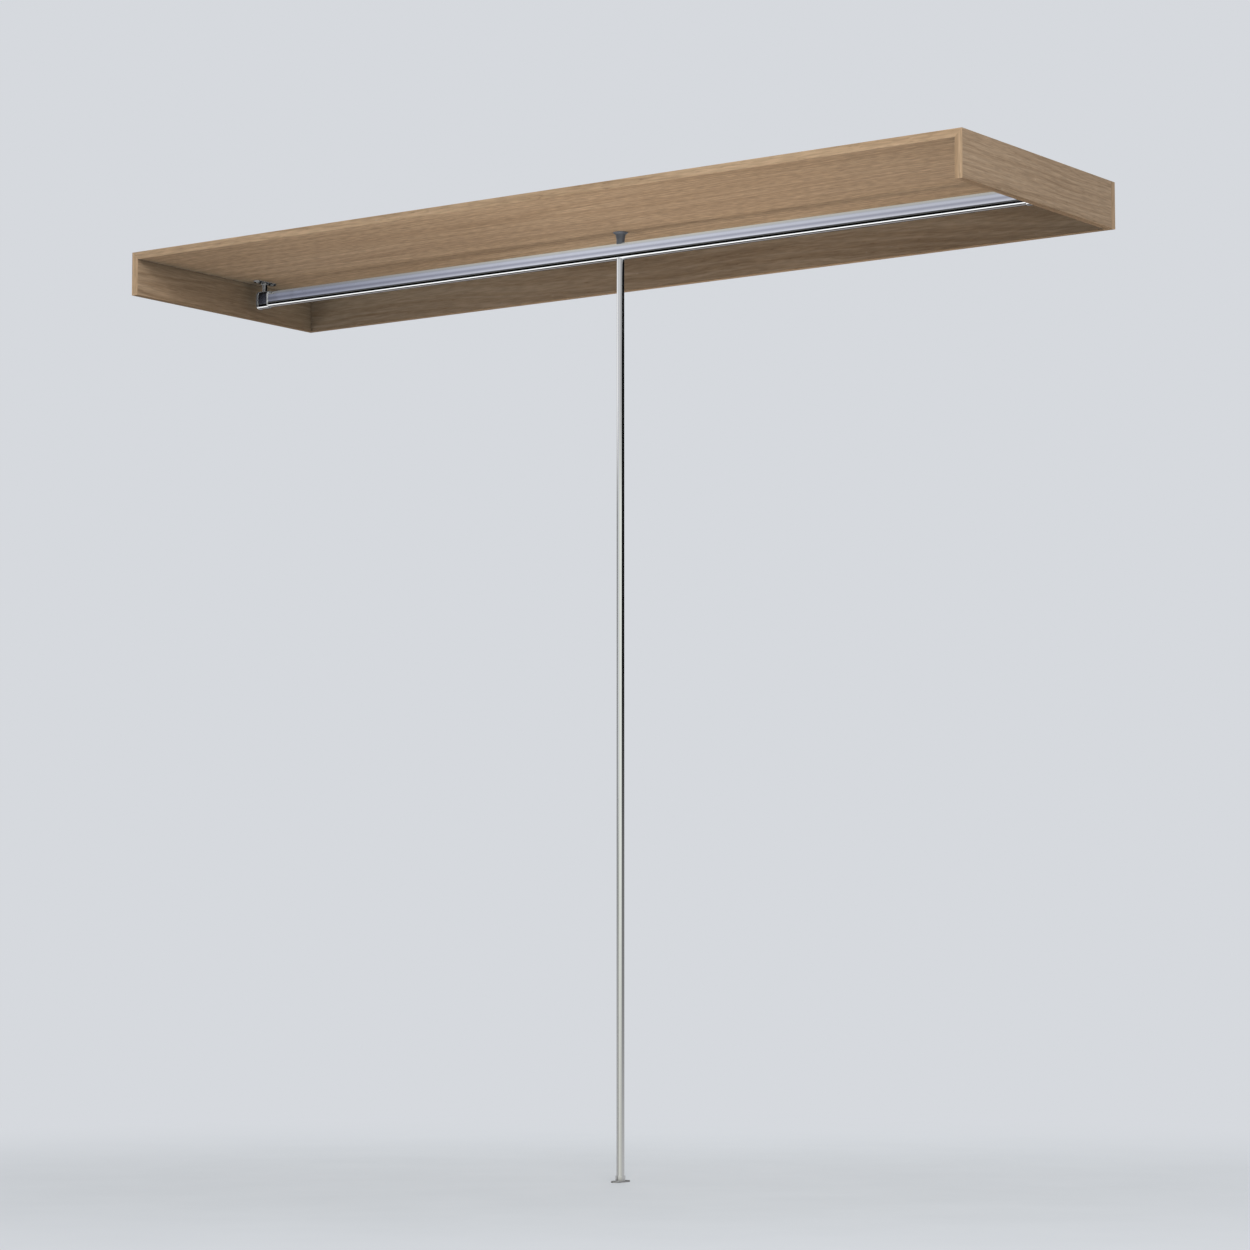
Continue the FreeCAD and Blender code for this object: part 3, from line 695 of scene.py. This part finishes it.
def mirrored_room(graph, way):
    """The colour that polished metal mirrors in a direction."""
    x, y, z = graph.split(way)
    ahead = graph.times(y, -1.0)
    left = graph.times(x, -1.0)
    turn = graph.math("ARCTAN2", left, ahead)
    rise = graph.math("ARCTAN2", z, ahead)

    near_floor = graph.dial(turn, NEAR_FLOOR)
    low = graph.blend(graph.range(z, *LOW_FALL), near_floor, graph.dial(turn, LOW_ROOM))
    room = graph.blend(graph.range(z, *HIGH_FALL), low, graph.dial(turn, HIGH_ROOM))
    flat = graph.vector("NORMALIZE", graph.join(x, y, 0.0))
    flag = graph.range(graph.vector("DOT_PRODUCT", flat, FLAG_FACING), *FLAG_EDGE)
    room = graph.blend(flag, room, graph.scale(z, FLAG_TONES))
    below = graph.range(z, *STEEP_DOWN)
    steep = graph.math("MAXIMUM", below, graph.range(z, *STEEP_UP))
    room = graph.blend(steep, room, graph.dial(rise, SOFT_ROOM))

    strip = graph.dial(rise, ROD_ROOM)
    dimmed = graph.blend(1.0, strip, graph.scale(left, ROD_DIM), "MULTIPLY")
    strip = graph.blend(graph.range(rise, *DIM_RISE), strip, dimmed)
    start, full, last, end = ROD_SHARE
    share = graph.times(graph.range(left, start, full), graph.range(left, end, last))
    strength = graph.math("MAXIMUM", below, graph.range(z, *FAINT_LEVEL, FAINT_STRIP, 1.0))
    return graph.blend(graph.times(share, strength), room, strip)


# Floor: a wide pale disc that fades into the background, so that no horizon shows.
# It is duller for bounced light than for the camera. Its rings are radii in metres.
FLOOR_RINGS = (1.5, 6.0, 40.0)
FLOOR_STEPS = 96
FLOOR_TONES = ((0.3, (0.666, 0.688, 0.705, 1)), (0.7, (0.692, 0.714, 0.731, 1)))
FLOOR_CLOUDS = (3.0, 4.0, 0.6)
FLOOR_DULL = grey(0.24)
FLOOR_ROUGHNESS = 0.9
# Distance from the pole at which the floor begins to fade and has faded, in metres
FLOOR_FADE = (0.7, 2.8)


def floor_mesh():
    corners = [(0.0, 0.0, 0.0)]
    for reach in FLOOR_RINGS:
        for step in range(FLOOR_STEPS):
            angle = 2 * math.pi * step / FLOOR_STEPS
            corners.append((reach * math.cos(angle), reach * math.sin(angle), 0.0))
    faces = []
    for step in range(FLOOR_STEPS):
        after = (step + 1) % FLOOR_STEPS
        faces.append((0, step + 1, after + 1))
        for ring in range(len(FLOOR_RINGS) - 1):
            inner = ring * FLOOR_STEPS + 1
            outer = inner + FLOOR_STEPS
            faces.append((inner + step, outer + step, outer + after, inner + after))
    mesh = bpy.data.meshes.new("floor")
    mesh.from_pydata(corners, [], faces)
    return mesh


def floor_material():
    material, graph, shader = new_material("pale_floor")
    place = graph.place()
    camera_ray = graph.node("ShaderNodeLightPath").outputs["Is Camera Ray"]
    tone = graph.ramp(graph.noise(place, *FLOOR_CLOUDS), FLOOR_TONES)
    graph.put(shader.inputs["Base Color"], graph.blend(camera_ray, FLOOR_DULL, tone))
    shader.inputs["Roughness"].default_value = FLOOR_ROUGHNESS
    shader.inputs["Specular IOR Level"].default_value = 0.0
    glow = graph.node("ShaderNodeEmission")
    graph.put(glow.inputs["Color"], BACKGROUND)
    faded = graph.range(graph.vector("LENGTH", place), *FLOOR_FADE)
    mixed = graph.node("ShaderNodeMixShader")
    graph.put(mixed.inputs[0], graph.times(faded, camera_ray))
    graph.put(mixed.inputs[1], shader.outputs["BSDF"])
    graph.put(mixed.inputs[2], glow.outputs["Emission"])
    output = [node for node in graph.tree.nodes if node.type == "OUTPUT_MATERIAL"][0]
    graph.put(output.inputs["Surface"], mixed.outputs["Shader"])
    return material


floor = bpy.data.objects.new("floor", floor_mesh())
scene.collection.objects.link(floor)
floor.data.materials.append(floor_material())
floor.visible_glossy = False

# World: plain for the camera, even light for the object, and the mirrored room for metal
ROOM_LIGHT = (0.63, 0.645, 0.67, 1)


def make_world():
    world = bpy.data.worlds.new("studio")
    scene.world = world
    world.use_nodes = True
    graph = Graph(world.node_tree)
    path = graph.node("ShaderNodeLightPath")
    facing = graph.node("ShaderNodeTexCoord").outputs["Generated"]
    light = graph.blend(path.outputs["Is Glossy Ray"], ROOM_LIGHT, mirrored_room(graph, facing))
    shown = graph.blend(path.outputs["Is Camera Ray"], light, BACKGROUND)
    back = graph.node("ShaderNodeBackground")
    graph.put(back.inputs["Color"], shown)
    back.inputs["Strength"].default_value = 1.0
    output = graph.node("ShaderNodeOutputWorld")
    graph.put(output.inputs["Surface"], back.outputs["Background"])


make_world()

# The metal mirrors the room, and not the wood and the cone round it
WOODEN = ("board", "edging", "biscuits")
for name, thing in nodes_of_frame.items():
    if name.endswith(WOODEN):
        thing.visible_glossy = False
nodes_of_frame["centre_cone"].visible_glossy = False
# The rod lays no dark line on the board above it
nodes_of_frame["hanging_rod"].visible_shadow = False

# Soft lamps: name, place, target, width and height in metres, watts, and spread in degrees
LAMPS = [
    ("key_light", (2.7, -2.8, 3.1), (0.3, -0.2, 1.6), 1.8, 1.4, 58.0, 180.0),
    ("rear_fill", (-1.7, 2.9, 2.7), (0.0, 0.0, 1.9), 2.0, 2.0, 46.0, 180.0),
    ("floor_bounce", (0.3, -0.4, 0.04), (0.3, -0.4, 2.0), 1.2, 2.4, 11.2, 98.0),
    ("front_fill", (-1.9, -2.6, 1.0), (-0.75, 0.2, 1.93), 0.8, 0.8, 0.6, 45.0),
]


def area_light(name, place, target, width, height, power, spread):
    """A rectangular lamp that the camera and the metal don't see."""
    light = bpy.data.lights.new(name, "AREA")
    light.shape = "RECTANGLE"
    light.size = width
    light.size_y = height
    light.energy = power
    light.spread = math.radians(spread)
    holder = bpy.data.objects.new(name, light)
    holder.location = place
    holder.rotation_euler = (Vector(target) - Vector(place)).to_track_quat("-Z", "Y").to_euler()
    holder.visible_glossy = False
    holder.visible_camera = False
    scene.collection.objects.link(holder)


for lamp in LAMPS:
    area_light(*lamp)

# Camera at the photograph's angle: place in metres, angles in degrees, lens in millimetres
CAMERA_PLACE = (4.3731, -6.0834, 0.4957)
CAMERA_PITCH = 5.013
CAMERA_YAW = 35.639
SENSOR_WIDTH = 36.0
FOCAL_LENGTH = 103.68
lens = bpy.data.cameras.new("camera")
lens.sensor_width = SENSOR_WIDTH
lens.lens = FOCAL_LENGTH
camera = bpy.data.objects.new("camera", lens)
camera.location = CAMERA_PLACE
camera.rotation_euler = (math.radians(90 + CAMERA_PITCH), 0, math.radians(CAMERA_YAW))
scene.collection.objects.link(camera)
scene.camera = camera

scene.view_settings.view_transform = "Standard"
